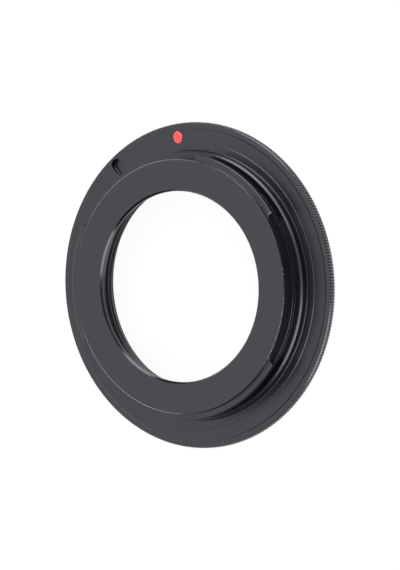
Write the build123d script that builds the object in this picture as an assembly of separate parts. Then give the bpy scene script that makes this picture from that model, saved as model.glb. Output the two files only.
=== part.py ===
"""Lens mount adapter ring, turned from one piece of aluminium.

The lens screws into the 42 mm thread from below. The three-lug bayonet on top goes into the camera.
Millimetres. The origin is the centre of the lens seat, +Z runs along the axis towards the camera,
and +Y points at the red index dot. Heights are counted from the lens seat.
"""
from build123d import *
import os
from math import cos, radians, sin

# Flange between the lens seat and the camera seat: its rim, and the shallow turned recess in its front
flange_thickness = 1.46
flange_width = 5.55
rim_back_chamfer = 0.35
rim_land_width = 1.17
rim_land_fall = 0.2
rim_front_chamfer_width = 0.2
rim_front_chamfer_height = 0.3
ledge_width = 1.63
recess_depth = 0.15

# Register ring that centres the adapter in the camera's throat
throat_diameter = 54.0
register_clearance = 0.05
register_height = 1.9
register_chamfer = 0.4
register_root_fillet = 0.35

# Neck above the register, with a low land at its root, up to the front face
register_step = 1.6
neck_height = 3.95
root_land_width = 0.1
root_land_height = 0.8
face_chamfer = 0.1

# Bayonet lugs on the neck: the middle angle and the width of each are in degrees about +Z
lug_reach = 1.25
lug_thickness = 1.05
lug_drop = 0.65
lug_chamfer = 0.1
lug_root_fillet = 1.0
upper_lug_angle = 49.7
upper_lug_width = 46.4
left_lug_angle = 171.7
left_lug_width = 52.0
lower_lug_angle = 293.7
lower_lug_width = 49.0

# Screw thread for the lens, bored to its crests, with its entry below and its run-out groove above
thread_diameter = 42.0
thread_depth = 0.54
thread_top = 3.2
entry_clearance = 0.22
entry_depth = 0.9
groove_clearance = 0.2

# Lip over the run-out groove, which presses the lens's diaphragm pin
lip_width = 1.46
lip_thickness = 1.0
lip_chamfer_width = 0.3
lip_chamfer_height = 0.45

# Lock pin slot, cut along a radius; its offset is outwards from the middle of the recess
slot_angle = 121.0
slot_offset = 0.15
slot_length = 3.35
slot_width = 2.5
slot_floor = 0.41

# Index dot: a drilled well filled with red enamel; its offset is outwards from the middle of the recess
dot_angle = 90.0
dot_offset = -0.18
dot_diameter = 2.3
dot_well_depth = 0.4
enamel_drop = 0.08
enamel_side_gap = 0.02

# Radii that follow from the sizes above, from the bore outwards
thread_radius = thread_diameter / 2
crest_radius = thread_radius - thread_depth
groove_radius = thread_radius + groove_clearance
entry_radius = thread_radius + entry_clearance
lip_radius = crest_radius - lip_width
register_radius = throat_diameter / 2 - register_clearance
neck_radius = register_radius - register_step
lug_radius = neck_radius + lug_reach
rim_radius = register_radius + flange_width
recess_inner = register_radius + ledge_width
recess_outer = rim_radius - rim_land_width
recess_middle = (recess_inner + recess_outer) / 2

# Heights that follow from the sizes above
recess_floor = flange_thickness - recess_depth
dot_floor = recess_floor - dot_well_depth
register_top = flange_thickness + register_height
face = register_top + neck_height
lug_top = face - lug_drop
lug_bottom = lug_top - lug_thickness
lip_underside = face - lip_thickness

# How near two places are to count as the same one
same_place = 1e-4


def circles(solid, radius, height):
    """Returns the solid's round edges of one radius that lie at one height."""
    found = ShapeList()
    for edge in solid.edges().filter_by(GeomType.CIRCLE):
        radius_error = abs(edge.radius - radius)
        height_error = abs(edge.center(CenterOf.BOUNDING_BOX).Z - height)
        if max(radius_error, height_error) < same_place:
            found.append(edge)
    return found


def polar_point(radius, angle):
    """Returns the X and Y of a point at a radius and an angle about the axis."""
    return radius * cos(radians(angle)), radius * sin(radians(angle))


def polar_place(radius, angle, height):
    """Returns the place at a radius and an angle about the axis, turned so that its X runs outwards."""
    return Pos(*polar_point(radius, angle), height) * Rot(0, 0, angle)


def ring_section():
    """Returns half of the ring's section, as a face in the XZ plane."""
    rim_land_edge = flange_thickness - rim_land_fall
    root_radius = neck_radius + root_land_width
    root_top = register_top + root_land_height
    flange_outline = [
        (entry_radius, 0),
        (rim_radius - rim_back_chamfer, 0),
        (rim_radius, rim_back_chamfer),
        (rim_radius, rim_land_edge - rim_front_chamfer_height),
        (rim_radius - rim_front_chamfer_width, rim_land_edge),
        (recess_outer, flange_thickness),
        (recess_outer - recess_depth, recess_floor),
        (recess_inner, recess_floor),
        (recess_inner, flange_thickness),
    ]
    neck_outline = [
        (register_radius, flange_thickness),
        (register_radius, register_top - register_chamfer),
        (register_radius - register_chamfer, register_top),
        (root_radius, register_top),
        (root_radius, root_top - root_land_width),
        (neck_radius, root_top),
        (neck_radius, face - face_chamfer),
        (neck_radius - face_chamfer, face),
    ]
    bore_outline = [
        (lip_radius + lip_chamfer_width, face),
        (lip_radius, face - lip_chamfer_height),
        (lip_radius, lip_underside),
        (groove_radius, lip_underside),
        (groove_radius, thread_top + groove_radius - crest_radius),
        (crest_radius, thread_top),
        (crest_radius, entry_depth + entry_radius - crest_radius),
        (entry_radius, entry_depth),
    ]
    outline = Polyline(*flange_outline, *neck_outline, *bore_outline, close=True)
    return Plane.XZ * make_face(outline)


def turned_ring():
    """Returns the ring as it leaves the lathe, with the rounded corner at the register's foot."""
    ring = revolve(ring_section(), Axis.Z)
    return fillet(circles(ring, register_radius, flange_thickness), register_root_fillet)


def lug_outline():
    """Returns the neck's disc with the three lugs on it, and hollow corners where they meet the neck."""
    lugs = [
        (upper_lug_angle, upper_lug_width),
        (left_lug_angle, left_lug_width),
        (lower_lug_angle, lower_lug_width),
    ]
    outline = Circle(neck_radius)
    feet = []
    for middle, width in lugs:
        ends = (middle - width / 2, middle + width / 2)
        reach = 2 * lug_radius
        wedge = make_face(Polyline((0, 0), *[polar_point(reach, end) for end in ends], close=True))
        outline += Circle(lug_radius) & wedge
        feet += [Vector(*polar_point(neck_radius, end)) for end in ends]
    corners = [
        vertex
        for vertex in outline.vertices()
        if any((Vector(*vertex) - foot).length < same_place for foot in feet)
    ]
    return fillet(corners, min(lug_root_fillet, 0.9 * lug_reach))


def lug_crown():
    """Returns the three lugs on a collar of the neck, with their outer edges chamfered."""
    outline = lug_outline() - Circle(groove_radius)
    crown = Pos(0, 0, lug_bottom) * extrude(outline, lug_thickness)
    rims = circles(crown, lug_radius, lug_top) + circles(crown, lug_radius, lug_bottom)
    return chamfer(rims, lug_chamfer)


def lock_slot():
    """Returns the round-ended path of the slot's cutter, from the slot's floor to the flange's top."""
    outline = SlotOverall(slot_length, slot_width)
    path = extrude(outline, flange_thickness - slot_floor)
    return polar_place(recess_middle + slot_offset, slot_angle, slot_floor) * path


def dot_place():
    """Returns the place of the index dot, on the floor of its well."""
    return polar_place(recess_middle + dot_offset, dot_angle, dot_floor)


def dot_well():
    """Returns the drilled well of the index dot, from its floor to the flange's top."""
    return dot_place() * extrude(Circle(dot_diameter / 2), flange_thickness - dot_floor)


def adapter_ring():
    """Returns the finished ring: turned body and lugs, less the slot and the well."""
    return turned_ring() + lug_crown() - lock_slot() - dot_well()


def index_dot():
    """Returns the enamel in the well: it stands on the well's floor and ends just under its mouth."""
    outline = Circle(dot_diameter / 2 - enamel_side_gap)
    return dot_place() * extrude(outline, dot_well_depth - enamel_drop)


os.makedirs("parts", exist_ok=True)
export_step(adapter_ring(), "parts/adapter_ring.step")
export_step(index_dot(), "parts/index_dot.step")
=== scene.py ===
"""The lens mount adapter's looks: a black anodised ring with a red index dot, lying on a white floor.

Sizes are in millimetres until they become a mesh, which is in metres. Angles are in degrees about +Z,
counted from +X, and the index dot is at 90. Heights are counted from the lens seat.
"""

import bmesh
import bpy
import numpy as np
from mathutils import Matrix, Vector


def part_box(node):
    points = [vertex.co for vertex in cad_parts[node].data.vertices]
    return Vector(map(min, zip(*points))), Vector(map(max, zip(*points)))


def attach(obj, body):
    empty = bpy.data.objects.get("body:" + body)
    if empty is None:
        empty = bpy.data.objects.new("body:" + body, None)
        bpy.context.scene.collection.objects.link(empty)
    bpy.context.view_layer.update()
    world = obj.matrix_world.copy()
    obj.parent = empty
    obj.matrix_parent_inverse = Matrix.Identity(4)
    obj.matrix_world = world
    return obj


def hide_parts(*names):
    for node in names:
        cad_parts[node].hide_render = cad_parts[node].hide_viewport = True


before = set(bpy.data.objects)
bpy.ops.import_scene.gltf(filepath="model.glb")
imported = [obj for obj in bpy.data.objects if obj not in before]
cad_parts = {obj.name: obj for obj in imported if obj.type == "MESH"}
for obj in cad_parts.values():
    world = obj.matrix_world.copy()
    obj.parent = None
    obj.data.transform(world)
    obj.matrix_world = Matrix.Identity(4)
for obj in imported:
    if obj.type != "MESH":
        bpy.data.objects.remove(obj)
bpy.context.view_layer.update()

METRES = 0.001
FULL_TURN = 2 * np.pi
merge_distance = 0.0002 * METRES

# How finely the ring is divided: even columns, those at each lug's end and nick, and round each cutter
even_columns = 220
lug_end_columns = 11
nick_columns = 5
cutter_columns = 64

# How finely the enamel is divided, round its outline and from its middle to there
spill_columns = 96
spill_rows = 16

# Overall sizes, read from the frame
ring_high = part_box("adapter_ring")[1]
dot_low, dot_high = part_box("index_dot")
rim_radius = ring_high.x / METRES
face = ring_high.z / METRES

# Flange, from the rim inwards
flange_thickness = 1.46
rim_back_chamfer = 0.35
rim_land_width = 1.17
rim_land_inner = 1.39
rim_land_outer = 1.3
rim_front_chamfer_width = 0.2
recess_depth = 0.15
recess_inner = 28.58
recess_outer = rim_radius - rim_land_width
outer_step_width = 0.2
ledge_chamfer = 0.07
recess_floor = flange_thickness - recess_depth

# Straight knurl on the rim
knurl_teeth = 333
knurl_rise = 0.06
knurl_depth = 0.19
knurl_groove_share = 0.88
rim_facet_width = 0.26
rim_facet_height = 0.35
rim_back_round = 0.24

# Register ring, neck and front face
register_radius = 26.95
register_top = 3.36
register_chamfer = 0.35
register_root_fillet = 0.26
neck_radius = 25.35
root_land_width = 0.06
root_land_height = 0.8
neck_root_fillet = 0.07
face_chamfer = 0.1

# Bayonet lugs: the middle and the width of each
lug_reach = 1.25
lug_top = face - 0.65
lug_bottom = lug_top - 1.05
lug_chamfer = 0.1
lug_root_fillet = 1.0
lug_seat_fillet = 0.15
lug_end_slant = 0.03
lugs = ((49.7, 46.4), (171.7, 52.0), (293.7, 49.0))

# Lip, run-out groove, screw thread and entry, from the face down
lip_radius = 19.0
lip_thickness = 1.0
lip_chamfer_width = 0.33
lip_chamfer_height = 0.43
thread_radius = 21.0
thread_depth = 0.54
thread_pitch = 1.0
thread_top = 3.2
thread_phase = 0.14
groove_radius = 21.2
entry_radius = 21.22
entry_depth = 0.9

# Lock pin slot and index well
slot_angle = 121.0
slot_radius = 30.105
slot_length = 3.35
slot_width = 2.5
slot_floor = 0.3
well_diameter = 2.3
well_floor = dot_low.z / METRES

# The enamel that spills over its well: half its width and length, its power, and how it lies
spill_half_width = 1.06
spill_half_length = 1.21
spill_power = 1.85
spill_shift = -0.045
spill_plug = 0.97
spill_gap = 0.01
spill_height = 0.06

# Nicks along the front face's edge, where bare metal shows: the middle of each, and their common length
nick_angles = (
    -39.6, -36.2, -33.7, -30.0, -28.3, -26.8, -24.5, -22.6, -19.4, -18.6, -16.7, -13.9, -12.0, -1.0, 1.5
)
nick_length = 0.2
nick_depth = 0.04
nick_reach = 0.2
nick_bare = 0.25
nick_bare_from = 0.45
nick_bare_to = 0.75

# Where a highlight is painted along the front face's edge as bare metal: the middle, half the width and the
# share of each arc
painted_highlight_arcs = ((114.0, 44.0, 0.2), (226.0, 38.0, 0.42))

# How much bare metal is painted in the knurl's grooves as reflection and on the ledge's edge as a highlight
groove_painted_reflection = 0.14
ledge_painted_highlight = 0.05

# How far the lip's chamfer is polished by handling, as a share of the knurl's polish
lip_polish = 0.6

# Roughness of the anodised skin, at its smoothest and roughest, and where it is fully polished
satin_smoothest = 0.28
satin_roughest = 0.34
polished_roughness = 0.13

# The nick on the outer corner of one lug
lug_nick_angle = 26.5
lug_nick_size = 0.14
lug_nick_bare = 0.6

# The share of the floor's white that no shadow takes away
floor_glow = 0.93

# How far machined edges are broken
edge_break = 0.04
fine_edge_break = 0.035
step_ease = 0.07

# The camera, as fitted to the photograph's circles
picture_width = 400
picture_height = 570
picture_ring = (195.7, 285.4)
pixels_per_mm = 5.015
camera_distance = 1150.0
view_tilt = 35.165
view_roll = -4.512
view_turn = -2.83


def unit(vectors):
    """Vectors divided by their lengths."""
    return vectors / np.linalg.norm(vectors, axis=-1, keepdims=True)


def eased_profile(corners, steps=5):
    """Rows (radius, height) along corners (radius, height, ease), from the first corner to the last.

    Between them each corner P becomes the parabola (1-t)^2 A + 2 t (1-t) P + t^2 B, where A and B lie
    on its two sides, as far from it as its ease.
    """
    corners = np.array(corners, float)
    points, ease = corners[:, :2], corners[1:-1, 2:]
    before, here, after = points[:-2], points[1:-1], points[2:]
    start = here + ease * unit(before - here)
    end = here + ease * unit(after - here)
    t = np.linspace(0, 1, steps)[:, None, None]
    curves = (1 - t) ** 2 * start + 2 * t * (1 - t) * here + t**2 * end
    return np.vstack([points[:1], curves.transpose(1, 0, 2).reshape(-1, 2), points[-1:]])


def turned(profile, angles):
    """Grid (rows, columns, 3) of (radius, angle, height): the profile at every angle."""
    rows = np.broadcast_to(profile[:, None, :], (len(profile), len(angles), 2))
    turn = np.broadcast_to(angles, rows.shape[:2])
    return np.stack([rows[..., 0], turn, rows[..., 1]], axis=-1)


def arc_from_lugs(angles):
    """Arc along the neck from each angle to the nearest lug's end wall, negative inside the lug."""
    middle, width = np.radians(np.array(lugs)).T
    away = np.abs((angles[:, None] - middle + np.pi) % FULL_TURN - np.pi)
    return neck_radius * (away - width / 2).min(axis=1)


def lug_outline(angles):
    """Radius of the milled outline of neck and lugs at each angle.

    With d the arc from the nearest lug's end wall and f the cutter's radius, the outline stands out of
    the neck by f - sqrt(f^2 - (f - d)^2) in the hollow corner, by the full reach on the lug, and rises
    from one to the other along the slightly slanted wall.
    """
    d = arc_from_lugs(angles)
    inward = np.clip(lug_root_fillet - d, 0, lug_root_fillet)
    corner = lug_root_fillet - np.sqrt(lug_root_fillet**2 - inward**2)
    wall = np.clip(-d / lug_end_slant, 0, 1) * (lug_reach - lug_root_fillet)
    return neck_radius + corner + wall


def column_angles():
    """Angles of the ring's columns, from 0 to a full turn: even ones, and more at lug ends and nicks."""
    even = np.linspace(0, FULL_TURN, even_columns + 1)
    corner = lug_root_fillet * (1 - np.cos(np.linspace(0, np.pi / 2, lug_end_columns)))
    steps = np.concatenate([[-lug_end_slant], corner]) / neck_radius
    middle, width = np.radians(np.array(lugs)).T
    lug_ends = np.concatenate([(middle + side * width / 2)[:, None] + side * steps for side in (-1, 1)])
    across = np.linspace(-1.5, 1.5, nick_columns) * nick_length / neck_radius
    nicks = np.radians([*nick_angles, lug_nick_angle])[:, None] + across
    extra = np.concatenate([lug_ends.ravel(), nicks.ravel()]) % FULL_TURN
    return np.unique(np.concatenate([even, extra]).round(6))


def rim_land_height(radius):
    """Height of the gently falling land between recess and rim."""
    slope = (rim_land_inner - rim_land_outer) / (rim_land_width - rim_front_chamfer_width)
    return rim_land_inner - slope * (radius - recess_outer)


def flange_and_register(angles):
    """Rows from the rim land over the recess and the register to the neck."""
    start = rim_radius - 3 * rim_front_chamfer_width
    root = neck_radius + root_land_width
    root_top = register_top + root_land_height
    corners = [
        (start, rim_land_height(start), 0),
        (recess_outer, rim_land_inner, step_ease),
        (recess_outer - outer_step_width, recess_floor, edge_break),
        (recess_inner, recess_floor, edge_break),
        (recess_inner, flange_thickness - ledge_chamfer, fine_edge_break),
        (recess_inner - ledge_chamfer, flange_thickness, fine_edge_break),
        (register_radius, flange_thickness, register_root_fillet),
        (register_radius, register_top - register_chamfer, edge_break),
        (register_radius - register_chamfer, register_top, edge_break),
        (root, register_top, neck_root_fillet),
        (root, root_top - root_land_width, edge_break),
        (neck_radius, root_top, edge_break),
        (neck_radius, lug_bottom, 0),
    ]
    return turned(eased_profile(corners), angles)


def lug_band(angles):
    """Rows round the lugs, from the neck below them to the hollow corner on top.

    The radius is the smaller of the turned lug's and the milled outline's, at each angle. The hollow
    corner is the parabola from (neck + f, lug top) to (neck, lug top + f), which the outline also limits.
    """
    chamfer_edge = neck_radius + lug_reach - lug_chamfer
    outline = lug_outline(angles)
    edge = np.minimum(chamfer_edge, outline)
    t = np.linspace(0, 1, 5)[:, None]
    hollow = np.minimum(neck_radius + lug_seat_fillet * (1 - t) ** 2, outline)
    hollow_height = np.broadcast_to(lug_top + lug_seat_fillet * t**2, hollow.shape)
    radius = np.vstack([edge, outline, outline, outline, edge, hollow])
    level = np.zeros_like(angles)
    height = np.vstack([
        level + lug_bottom,
        lug_bottom + outline - edge,
        level + lug_top - 2 * lug_nick_size,
        lug_top - outline + edge,
        level + lug_top,
        hollow_height,
    ])
    return np.stack([radius, np.broadcast_to(angles, radius.shape), height], axis=-1)


def nick_share(angles):
    """How much of a nick each angle has, from 0 to 1: bell curves exp(-(arc / length)^2) at the nicks."""
    away = np.abs((angles[:, None] - np.radians(nick_angles) + np.pi) % FULL_TURN - np.pi)
    return np.exp(-((neck_radius * away / nick_length) ** 2)).max(axis=1)


def on_face_edge(radius, height):
    """Which points lie on the chamfer between the neck and the front face."""
    past_edge = np.maximum(neck_radius - radius, 0) + face - height
    return (past_edge < face_chamfer + edge_break) & (radius > neck_radius - face_chamfer - edge_break)


def face_and_lip(angles):
    """Rows from the lugs' top up the neck, over the front face and the lip into the run-out groove.

    The rows of the face's chamfer are pushed in and down by the nicks.
    """
    lip_underside = face - lip_thickness
    corners = [
        (neck_radius, lug_top + lug_seat_fillet, 0),
        (neck_radius, face - nick_reach, edge_break),
        (neck_radius, face - face_chamfer, edge_break),
        (neck_radius - face_chamfer, face, edge_break),
        (neck_radius - nick_reach, face, edge_break),
        (lip_radius + lip_chamfer_width, face, edge_break),
        (lip_radius, face - lip_chamfer_height, edge_break),
        (lip_radius, lip_underside, edge_break),
        (groove_radius, lip_underside, edge_break),
        (groove_radius, thread_top + groove_radius - thread_radius + thread_depth, 0),
    ]
    grid = turned(eased_profile(corners), angles)
    push = nick_depth * nick_share(angles) * on_face_edge(grid[..., 0], grid[..., 2])
    grid[..., 0] -= push
    grid[..., 2] -= push
    return grid


def thread_rows(angles):
    """Rows of the screw thread, from the run-out groove down to the entry.

    The row at share s of turn k lies at height start + pitch (k + s + angle / full turn), kept between
    the thread's two ends. Its radius is the larger of the plain bore's at that height and the thread
    form's at share s, so the turns run out on the cones at both ends. The form is a flat crest, a flank,
    a flat root and a flank.
    """
    crest = thread_radius - thread_depth
    groove_start = thread_top + groove_radius - crest
    share = np.array([0.0, 0.25, 0.5625, 0.6875])
    form = np.array([0.0, 0.0, 1.0, 1.0])
    turns = int(np.ceil((groove_start - entry_depth) / thread_pitch)) + 2
    rise = (np.arange(-2, turns - 2)[:, None] + share).ravel()[::-1, None]
    depth = thread_depth * np.tile(form, turns)[::-1, None]
    height = entry_depth + thread_pitch * (rise + thread_phase + angles / FULL_TURN)
    height = np.clip(height, entry_depth, groove_start)
    cone_top = entry_depth + entry_radius - crest
    bore_heights = (entry_depth, cone_top, thread_top, groove_start)
    bore = np.interp(height, bore_heights, (entry_radius, crest, crest, groove_radius))
    radius = np.maximum(bore, crest + depth)
    return np.stack([radius, np.broadcast_to(angles, height.shape), height], axis=-1)


def entry_and_seat(angles):
    """Rows from the thread's entry over its edge and outwards along the lens seat."""
    end = rim_radius - 3 * rim_back_chamfer
    corners = [(entry_radius, entry_depth, 0), (entry_radius, 0, 2 * edge_break), (end, 0, 0)]
    return turned(eased_profile(corners), angles)


def knurled_rim():
    """Rows over the rim, from the land to the lens seat, seven columns to a tooth.

    At each angle the rim is the smaller of the turned rim's radius and the knurl's, so the grooves run
    out through the facet in front and the rounded edge at the back.
    """
    share = np.array([0, 1, 2, 3, -3, -2, -1]) * knurl_groove_share / 6 % 1
    depth = knurl_depth * np.array([3, 2, 1, 0, 0, 1, 2]) / 3
    angles = (np.arange(knurl_teeth)[:, None] + share).ravel() * FULL_TURN / knurl_teeth
    angles = np.append(angles, FULL_TURN)
    tip = rim_radius + knurl_rise
    tooth = tip - np.append(np.tile(depth, knurl_teeth), depth[0])
    start = rim_radius - 2 * rim_front_chamfer_width
    end = rim_radius - 2 * rim_back_chamfer
    facet_edge = tip - rim_facet_width
    facet_top = rim_land_height(facet_edge)
    corners = [
        (start, rim_land_height(start), 0),
        (facet_edge, facet_top, 2 * edge_break),
        (facet_edge + rim_facet_width / 2, facet_top - rim_facet_height / 2, 2 * edge_break),
        (tip, facet_top - rim_facet_height, edge_break),
        (tip, 0, rim_back_round),
        (end, 0, 0),
    ]
    grid = turned(eased_profile(corners), angles)
    grid[..., 0] = np.minimum(grid[..., 0], tooth)
    return grid


def grid_quads(rows, columns, first=0):
    """Quads of a grid of rows by columns whose points are numbered along the rows, from first on."""
    number = first + np.arange(rows * columns).reshape(rows, columns)
    corners = (number[:-1, :-1], number[:-1, 1:], number[1:, 1:], number[1:, :-1])
    return np.stack(corners, axis=-1).reshape(-1, 4)


def zipped(angles_a, first_a, angles_b, first_b):
    """Triangles between two rings with points at unlike angles, both from 0 to a full turn.

    In order of angle, each step along one ring makes a triangle with the point last passed on the other.
    """
    on_b = np.searchsorted(angles_b[1:], angles_a[1:], side="left")
    on_a = np.searchsorted(angles_a[1:], angles_b[1:], side="right")
    a, b = np.arange(1, len(angles_a)), np.arange(1, len(angles_b))
    steps_a = np.stack([first_a + a - 1, first_a + a, first_b + on_b], axis=-1)
    steps_b = np.stack([first_b + b, first_b + b - 1, first_a + on_a], axis=-1)
    return np.vstack([steps_a, steps_b])


def cartesian(grid):
    """Points (x, y, z) in metres of cylinder coordinates (radius, angle, height) in millimetres."""
    radius, angle, height = np.moveaxis(grid.reshape(-1, 3), -1, 0)
    return METRES * np.stack([radius * np.cos(angle), radius * np.sin(angle), height], axis=-1)


def new_object(name, points, faces):
    """A closed mesh object of the points and faces, with doubles merged and its faces pointing outwards."""
    mesh = bpy.data.meshes.new(name)
    mesh.from_pydata(points.tolist(), [], faces)
    work = bmesh.new()
    work.from_mesh(mesh)
    bmesh.ops.remove_doubles(work, verts=work.verts, dist=merge_distance)
    bmesh.ops.recalc_face_normals(work, faces=work.faces)
    work.to_mesh(mesh)
    work.free()
    piece = bpy.data.objects.new(name, mesh)
    bpy.context.scene.collection.objects.link(piece)
    return piece


def ring_body():
    """The ring without its slot and well: a turned grid, closed at the rim by the finer knurled one."""
    angles = column_angles()
    blocks = (flange_and_register, lug_band, face_and_lip, thread_rows, entry_and_seat)
    grid = np.concatenate([block(angles) for block in blocks])
    rim = knurled_rim()
    rim_angles = rim[0, :, 1]
    rows, columns = grid.shape[:2]
    rim_rows, rim_columns = rim.shape[:2]
    rim_first = rows * columns
    rim_last_row = rim_first + (rim_rows - 1) * rim_columns
    faces = [
        *grid_quads(rows, columns).tolist(),
        *grid_quads(rim_rows, rim_columns, rim_first).tolist(),
        *zipped(angles, 0, rim_angles, rim_first).tolist(),
        *zipped(angles, rim_first - columns, rim_angles, rim_last_row).tolist(),
    ]
    return new_object("anodised_ring", np.vstack([cartesian(grid), cartesian(rim)]), faces)


def cutter(name, place_radius, place_angle, length, width, rows):
    """A closed cutter with a round-ended outline along a radius, through rows of (offset, height).

    With a half of length less width and p half the width plus the row's offset, the outline's point at
    angle t is (a sign(cos t) + p cos t, p sin t), X outwards.
    """
    t = (np.arange(cutter_columns) + 0.5) * FULL_TURN / cutter_columns
    offset, height = np.array(rows).T
    p = width / 2 + offset[:, None]
    along = place_radius + (length - width) / 2 * np.sign(np.cos(t)) + p * np.cos(t)
    across = p * np.sin(t)
    turn = np.radians(place_angle)
    x = along * np.cos(turn) - across * np.sin(turn)
    y = along * np.sin(turn) + across * np.cos(turn)
    points = np.stack([x, y, np.broadcast_to(height[:, None], x.shape)], axis=-1)
    number = np.arange(points.shape[0] * points.shape[1]).reshape(points.shape[:2])
    looped = np.hstack([number, number[:, :1]])
    walls = np.stack([looped[:-1, :-1], looped[:-1, 1:], looped[1:, 1:], looped[1:, :-1]], axis=-1)
    faces = [*walls.reshape(-1, 4).tolist(), number[0].tolist(), number[-1].tolist()]
    return new_object(name, METRES * points.reshape(-1, 3), faces)


def bake_modifiers(piece):
    """Puts the mesh that a piece's modifiers make in the place of its own."""
    evaluated = piece.evaluated_get(bpy.context.evaluated_depsgraph_get())
    baked = bpy.data.meshes.new_from_object(evaluated)
    piece.modifiers.clear()
    piece.data = baked


def cut(piece, tools):
    """Cuts the tools out of the piece, and removes them."""
    for tool in tools:
        modifier = piece.modifiers.new(tool.name, "BOOLEAN")
        modifier.object = tool
        modifier.operation = "DIFFERENCE"
        modifier.solver = "EXACT"
    bake_modifiers(piece)
    for tool in tools:
        bpy.data.objects.remove(tool)


def slot_and_well():
    """The cutters of the lock pin slot and of the index well, both flared a little at the recess floor."""
    above = flange_thickness + recess_depth
    mouth = [(0, recess_floor - edge_break), (edge_break, recess_floor), (edge_break, above)]
    slot_rows = [(-2 * edge_break, slot_floor), (0, slot_floor + 2 * edge_break), *mouth]
    well_rows = [(0, well_floor), *mouth]
    dot_middle = (dot_low.y + dot_high.y) / 2 / METRES
    return [
        cutter("slot", slot_radius, slot_angle, slot_length, slot_width, slot_rows),
        cutter("well", dot_middle, 90, well_diameter, well_diameter, well_rows),
    ]


def smooth_shading(piece, sharp_angle):
    """Smooth shading between edges sharper than an angle, weighted so that wide faces stay flat.

    The weights are worked out in millimetres, because areas in square metres are too small for them.
    """
    mesh = piece.data
    mesh.polygons.foreach_set("use_smooth", np.ones(len(mesh.polygons), bool))
    mesh.set_sharp_from_angle(angle=np.radians(sharp_angle))
    mesh.transform(Matrix.Scale(1 / METRES, 4))
    modifier = piece.modifiers.new("flat faces stay flat", "WEIGHTED_NORMAL")
    modifier.mode = "FACE_AREA"
    modifier.keep_sharp = True
    bake_modifiers(piece)
    piece.data.transform(Matrix.Scale(METRES, 4))


def mesh_points(mesh):
    """Radius, angle and height of a mesh's points, in millimetres and radians."""
    points = np.empty(3 * len(mesh.vertices))
    mesh.vertices.foreach_get("co", points)
    x, y, z = points.reshape(-1, 3).T / METRES
    return np.hypot(x, y), np.arctan2(y, x), z


def write_attribute(mesh, name, values):
    """Stores one number per point of a mesh under a name that its material reads."""
    attribute = mesh.attributes.new(name, "FLOAT", "POINT")
    attribute.data.foreach_set("value", values.astype(np.float32))


def painted_highlight_share(angles):
    """How much bare metal is painted along the front face's edge as a highlight: each arc's share, with
    soft cosine ends.
    """
    middle, half, share = np.array(painted_highlight_arcs).T
    away = np.abs((np.degrees(angles)[:, None] - middle + 180) % 360 - 180) / half
    return (share * np.sqrt(np.cos(np.minimum(away, 1) * np.pi / 2).clip(0))).max(axis=1)


def lug_nick_share(radius, angle, height):
    """How much of the lug's nick each point has: exp(-(distance / size)^2) about the lug's outer corner."""
    corner = neck_radius + lug_reach
    along = corner * (angle - np.radians(lug_nick_angle))
    distance = np.sqrt((radius - corner) ** 2 + along**2 + (height - lug_top) ** 2)
    return np.exp(-((distance / lug_nick_size) ** 2))


def on_knurl(radius):
    """Which points lie on the knurled rim."""
    return radius > rim_radius + knurl_rise - rim_facet_width


def on_lip(radius, height):
    """Which points lie on the lip's chamfer or just below it."""
    return (radius < lip_radius + lip_chamfer_width) & (height > face - 2 * lip_chamfer_height)


def painted_groove_and_ledge_light(radius, angle, height):
    """How much bare metal is painted on the ledge's edge as a highlight and in the knurl's grooves as
    reflection.

    In the knurl it falls in a straight line from the middle of each groove to two thirds up its walls.
    """
    away = np.abs((angle * knurl_teeth / FULL_TURN + 0.5) % 1 - 0.5)
    groove = np.clip(1 - 3 * away / knurl_groove_share, 0, 1)
    above_recess = (height > recess_floor + edge_break) & (height < flange_thickness + edge_break)
    on_ledge = (np.abs(radius - recess_inner) < ledge_chamfer) & above_recess
    return groove_painted_reflection * groove * on_knurl(radius) + ledge_painted_highlight * on_ledge


def write_wear_and_painted_light(mesh):
    """Stores how much bare metal shows at each point, at real nicks and as painted highlights and
    reflections, and how far handling has polished it.
    """
    radius, angle, height = mesh_points(mesh)
    # Bare metal at real nicks, and painted highlights along the face's edge arcs, in the knurl's grooves
    # and on the ledge's edge
    nicks = np.interp(nick_share(angle), (nick_bare_from, nick_bare_to), (0, nick_bare))
    edge = on_face_edge(radius, height + nick_depth)
    wear_and_painted_light = np.maximum(nicks, painted_highlight_share(angle)) * edge
    wear_and_painted_light = np.maximum(wear_and_painted_light, lug_nick_bare * lug_nick_share(radius, angle, height))
    write_attribute(mesh, "wear_and_painted_light", np.maximum(wear_and_painted_light, painted_groove_and_ledge_light(radius, angle, height)))
    write_attribute(mesh, "polished", np.maximum(on_knurl(radius), lip_polish * on_lip(radius, height)))


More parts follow.
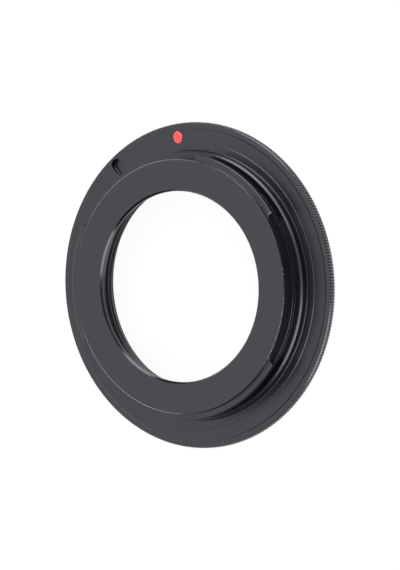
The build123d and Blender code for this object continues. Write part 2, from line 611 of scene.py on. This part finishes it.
def enamel_dot():
    """The red enamel: a drop of paint that fills its well and spills a little over the well's edge.

    Rows run from the middle of the top to the drop's outline, back to the well and down to its floor.
    With p the outline's power, its point at angle t is |cos t|^(2/p) and |sin t|^(2/p) of the two half
    axes, which gives a slightly pointed oval, with a small wave along it.
    """
    middle = (dot_low + dot_high) / 2 / METRES
    t = np.linspace(0, FULL_TURN, spill_columns + 1)
    wave = 1 + 0.015 * np.sin(2 * t + 2.6) + 0.01 * np.sin(5 * t)
    across = spill_half_width * np.sign(np.cos(t)) * np.abs(np.cos(t)) ** (2 / spill_power) * wave
    along = spill_half_length * np.sign(np.sin(t)) * np.abs(np.sin(t)) ** (2 / spill_power) * wave
    share = np.linspace(0, 1, spill_rows)[:, None]
    x = np.vstack([spill_shift + share * across, spill_plug * np.cos(t), spill_plug * np.cos(t)])
    y = np.vstack([share * along, spill_plug * np.sin(t), spill_plug * np.sin(t)])
    skin = recess_floor + spill_gap + spill_height * np.sqrt(1 - share**4)
    height = np.vstack([skin, [[recess_floor + spill_gap], [well_floor]]])
    z = np.broadcast_to(height, x.shape)
    points = METRES * np.stack([middle.x + x, middle.y + y, z], axis=-1).reshape(-1, 3)
    drop = new_object("enamel_dot", points, grid_quads(*x.shape).tolist())
    # Painted highlight: the enamel is paler towards its outline
    rise = mesh_points(drop.data)[2] - recess_floor - spill_gap
    write_attribute(drop.data, "painted_rim_highlight", 1 - np.clip(rise / spill_height, 0, 1))
    return drop


def add_node(tree, kind, inputs=None, **settings):
    """A new shader node, with its settings and the values of its sockets."""
    node = tree.nodes.new(kind)
    for name, value in settings.items():
        setattr(node, name, value)
    for socket, value in (inputs or {}).items():
        node.inputs[socket].default_value = value
    return node


def new_material(name):
    """A material with an empty principled shader: the material, its tree and the shader."""
    material = bpy.data.materials.new(name)
    material.use_nodes = True
    tree = material.node_tree
    return material, tree, tree.nodes["Principled BSDF"]


def black_anodised():
    """Satin black anodised aluminium with a fine grain, smoother where polished, and bare metal where worn
    and where highlights and reflections are painted.
    """
    material, tree, shader = new_material("black_anodised")
    link = tree.links.new
    place = add_node(tree, "ShaderNodeTexCoord").outputs["Object"]
    grain = add_node(tree, "ShaderNodeTexNoise", {"Scale": 6000.0, "Detail": 3.0})
    cloud = add_node(tree, "ShaderNodeTexNoise", {"Scale": 350.0, "Detail": 4.0})
    link(place, grain.inputs["Vector"])
    link(place, cloud.inputs["Vector"])
    tone = add_node(tree, "ShaderNodeMix", data_type="RGBA")
    tone.inputs["A"].default_value = (0.0017, 0.0019, 0.0026, 1)
    tone.inputs["B"].default_value = (0.0027, 0.003, 0.0039, 1)
    link(cloud.outputs["Fac"], tone.inputs["Factor"])
    # Bare metal colour, for real nicks and for painted highlights and reflections
    wear_and_painted_light = add_node(tree, "ShaderNodeAttribute", attribute_name="wear_and_painted_light").outputs["Fac"]
    colour = add_node(tree, "ShaderNodeMix", data_type="RGBA")
    colour.inputs["B"].default_value = (0.75, 0.76, 0.78, 1)
    link(wear_and_painted_light, colour.inputs["Factor"])
    link(tone.outputs["Result"], colour.inputs["A"])
    link(colour.outputs["Result"], shader.inputs["Base Color"])
    link(wear_and_painted_light, shader.inputs["Metallic"])
    satin = add_node(tree, "ShaderNodeMapRange", {"To Min": satin_smoothest, "To Max": satin_roughest})
    link(cloud.outputs["Fac"], satin.inputs["Value"])
    polished = add_node(tree, "ShaderNodeAttribute", attribute_name="polished").outputs["Fac"]
    finish = add_node(tree, "ShaderNodeMix", {"B": polished_roughness})
    link(polished, finish.inputs["Factor"])
    link(satin.outputs["Result"], finish.inputs["A"])
    link(finish.outputs["Result"], shader.inputs["Roughness"])
    bump = add_node(tree, "ShaderNodeBump", {"Strength": 0.15, "Distance": 0.00002})
    link(grain.outputs["Fac"], bump.inputs["Height"])
    link(bump.outputs["Normal"], shader.inputs["Normal"])
    shader.inputs["IOR"].default_value = 1.58
    shader.inputs["Specular Tint"].default_value = (0.88, 0.91, 1.0, 1)
    return material


def red_enamel():
    """Glossy red enamel with a slightly uneven skin, and a painted highlight that makes it paler round its
    edge.
    """
    material, tree, shader = new_material("red_enamel")
    link = tree.links.new
    place = add_node(tree, "ShaderNodeTexCoord").outputs["Object"]
    cloud = add_node(tree, "ShaderNodeTexNoise", {"Scale": 1500.0, "Detail": 3.0})
    link(place, cloud.inputs["Vector"])
    tone = add_node(tree, "ShaderNodeMix", data_type="RGBA")
    tone.inputs["A"].default_value = (0.9, 0.045, 0.045, 1)
    tone.inputs["B"].default_value = (0.98, 0.07, 0.07, 1)
    link(cloud.outputs["Fac"], tone.inputs["Factor"])
    # Painted highlight: paler red towards the drop's outline
    painted_rim_highlight = add_node(tree, "ShaderNodeAttribute", attribute_name="painted_rim_highlight").outputs["Fac"]
    edge = add_node(tree, "ShaderNodeMapRange", {"From Min": 0.2, "From Max": 0.9, "To Max": 0.7})
    link(painted_rim_highlight, edge.inputs["Value"])
    colour = add_node(tree, "ShaderNodeMix", data_type="RGBA")
    colour.inputs["B"].default_value = (0.95, 0.19, 0.19, 1)
    link(edge.outputs["Result"], colour.inputs["Factor"])
    link(tone.outputs["Result"], colour.inputs["A"])
    link(colour.outputs["Result"], shader.inputs["Base Color"])
    bump = add_node(tree, "ShaderNodeBump", {"Strength": 0.2, "Distance": 0.00003})
    link(cloud.outputs["Fac"], bump.inputs["Height"])
    link(bump.outputs["Normal"], shader.inputs["Normal"])
    shader.inputs["Roughness"].default_value = 0.3
    return material


def add_to_frame(piece, node, material):
    """Puts a finished piece in a CAD node's place, on the one body, with its material."""
    piece.data.materials.clear()
    piece.data.materials.append(material)
    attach(piece, "root")
    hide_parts(node)


def white_floor():
    """A wide white floor. The camera and reflections see it as white paper that keeps a faint shadow.

    For other light it is greyer, so that it does not fill the object's shaded walls.
    """
    half = 2000.0 * METRES
    sink = 0.01 * METRES
    corners = [(-half, -half, -sink), (half, -half, -sink), (half, half, -sink), (-half, half, -sink)]
    mesh = bpy.data.meshes.new("floor")
    mesh.from_pydata(corners, [], [(0, 1, 2, 3)])
    floor = bpy.data.objects.new("floor", mesh)
    bpy.context.scene.collection.objects.link(floor)
    material = bpy.data.materials.new("white_paper")
    material.use_nodes = True
    tree = material.node_tree
    tree.nodes.clear()
    link = tree.links.new
    paper = add_node(tree, "ShaderNodeBsdfDiffuse")
    white = add_node(tree, "ShaderNodeEmission", {"Color": (1, 1, 1, 1), "Strength": 1.0})
    path = add_node(tree, "ShaderNodeLightPath")
    seen = add_node(tree, "ShaderNodeMath", operation="MAXIMUM")
    link(path.outputs["Is Camera Ray"], seen.inputs[0])
    link(path.outputs["Is Glossy Ray"], seen.inputs[1])
    seen_through = add_node(tree, "ShaderNodeMath", operation="MAXIMUM")
    link(seen.outputs[0], seen_through.inputs[0])
    link(path.outputs["Is Transmission Ray"], seen_through.inputs[1])
    tone = add_node(tree, "ShaderNodeMix", data_type="RGBA")
    tone.inputs["A"].default_value = (0.4, 0.4, 0.4, 1)
    tone.inputs["B"].default_value = (0.95, 0.95, 0.95, 1)
    link(seen_through.outputs[0], tone.inputs["Factor"])
    link(tone.outputs["Result"], paper.inputs["Color"])
    share = add_node(tree, "ShaderNodeMath", operation="MULTIPLY")
    share.inputs[1].default_value = floor_glow
    link(seen_through.outputs[0], share.inputs[0])
    mix = add_node(tree, "ShaderNodeMixShader")
    link(share.outputs[0], mix.inputs[0])
    link(paper.outputs[0], mix.inputs[1])
    link(white.outputs[0], mix.inputs[2])
    output = add_node(tree, "ShaderNodeOutputMaterial")
    link(mix.outputs[0], output.inputs["Surface"])
    mesh.materials.append(material)


def studio_dome():
    """The world: a dim horizon that brightens towards the zenith, and white for the camera."""
    world = bpy.data.worlds.new("studio")
    bpy.context.scene.world = world
    world.use_nodes = True
    tree = world.node_tree
    tree.nodes.clear()
    link = tree.links.new
    direction = add_node(tree, "ShaderNodeTexCoord").outputs["Generated"]
    split = add_node(tree, "ShaderNodeSeparateXYZ")
    link(direction, split.inputs[0])
    spread = {"From Min": 0.2, "From Max": 0.55, "To Min": 0.02, "To Max": 0.38}
    level = add_node(tree, "ShaderNodeMapRange", spread)
    level.interpolation_type = "SMOOTHSTEP"
    link(split.outputs["Z"], level.inputs["Value"])
    dome = add_node(tree, "ShaderNodeBackground")
    link(level.outputs["Result"], dome.inputs["Strength"])
    white = add_node(tree, "ShaderNodeBackground", {"Strength": 1.0})
    white.inputs["Color"].default_value = (1, 1, 1, 1)
    dome.inputs["Color"].default_value = (1, 1, 1, 1)
    path = add_node(tree, "ShaderNodeLightPath")
    mix = add_node(tree, "ShaderNodeMixShader")
    link(path.outputs["Is Camera Ray"], mix.inputs[0])
    link(dome.outputs[0], mix.inputs[1])
    link(white.outputs[0], mix.inputs[2])
    output = add_node(tree, "ShaderNodeOutputWorld")
    link(mix.outputs[0], output.inputs["Surface"])


def direction_at(azimuth, elevation):
    """Unit vector at an angle about +Z and an angle above the floor, in degrees."""
    turn, rise = np.radians(azimuth), np.radians(elevation)
    return Vector((np.cos(rise) * np.cos(turn), np.cos(rise) * np.sin(turn), np.sin(rise)))


def softbox(name, azimuth, elevation, distance, width, height, radiance):
    """A soft area lamp that looks at the ring, of a given brightness over its whole face."""
    lamp = bpy.data.lights.new(name, "AREA")
    lamp.shape = "RECTANGLE"
    lamp.size = width * METRES
    lamp.size_y = height * METRES
    lamp.energy = radiance * np.pi * lamp.size * lamp.size_y
    place = direction_at(azimuth, elevation)
    box = bpy.data.objects.new(name, lamp)
    turn = place.to_track_quat("Z", "Y").to_matrix().to_4x4()
    box.matrix_world = Matrix.Translation(place * distance * METRES) @ turn
    box.visible_camera = False
    bpy.context.scene.collection.objects.link(box)


def photograph_camera():
    """The camera at the photograph's angle, distance and framing, looking at the ring's recess floor."""
    tilt, roll = np.radians(view_tilt), np.radians(view_roll)
    axis = np.array((0, 0, 1.0))
    outwards = np.array(direction_at(view_turn, 0))
    upwards = np.array(direction_at(view_turn + 90, 0))
    back = np.sin(tilt) * outwards + np.cos(tilt) * axis
    level_right = np.cos(tilt) * outwards - np.sin(tilt) * axis
    right = np.cos(roll) * level_right + np.sin(roll) * upwards
    up = np.cos(roll) * upwards - np.sin(roll) * level_right
    aim = recess_floor * axis
    aim += right * (picture_width / 2 - picture_ring[0]) / pixels_per_mm
    aim += up * (picture_ring[1] - picture_height / 2) / pixels_per_mm
    turn = Matrix(np.stack([right, up, back], axis=-1).tolist()).to_4x4()
    data = bpy.data.cameras.new("photograph")
    data.sensor_width = 36.0
    data.lens = data.sensor_width * pixels_per_mm * camera_distance / picture_height
    camera = bpy.data.objects.new("photograph", data)
    camera.matrix_world = Matrix.Translation(METRES * Vector(aim + camera_distance * back)) @ turn
    bpy.context.scene.collection.objects.link(camera)
    bpy.context.scene.camera = camera


# The two pieces of the part
ring = ring_body()
cut(ring, slot_and_well())
write_wear_and_painted_light(ring.data)
smooth_shading(ring, 30)
add_to_frame(ring, "adapter_ring", black_anodised())

dot = enamel_dot()
smooth_shading(dot, 60)
add_to_frame(dot, "index_dot", red_enamel())

# The studio. Each lamp's azimuth, elevation, distance, width and height come first, then its brightness.
white_floor()
studio_dome()
softbox("left_softbox", 174, 58, 600, 1300, 1060, 1.0)
softbox("overhead_softbox", 174, 82, 600, 500, 300, 0.15)
softbox("back_softbox", 96, 60, 500, 230, 230, 2.2)
softbox("lower_softbox", -43, 21, 500, 400, 350, 4.8)
softbox("lower_strip", -43, 7, 500, 344, 105, 2.5)
softbox("upper_softbox", 79, 20, 500, 310, 364, 5.5)
softbox("upper_fill", 47, 31, 500, 250, 120, 4.2)
softbox("right_fill", 9, 34, 500, 466, 110, 1.25)
photograph_camera()
bpy.context.scene.view_settings.view_transform = "Standard"
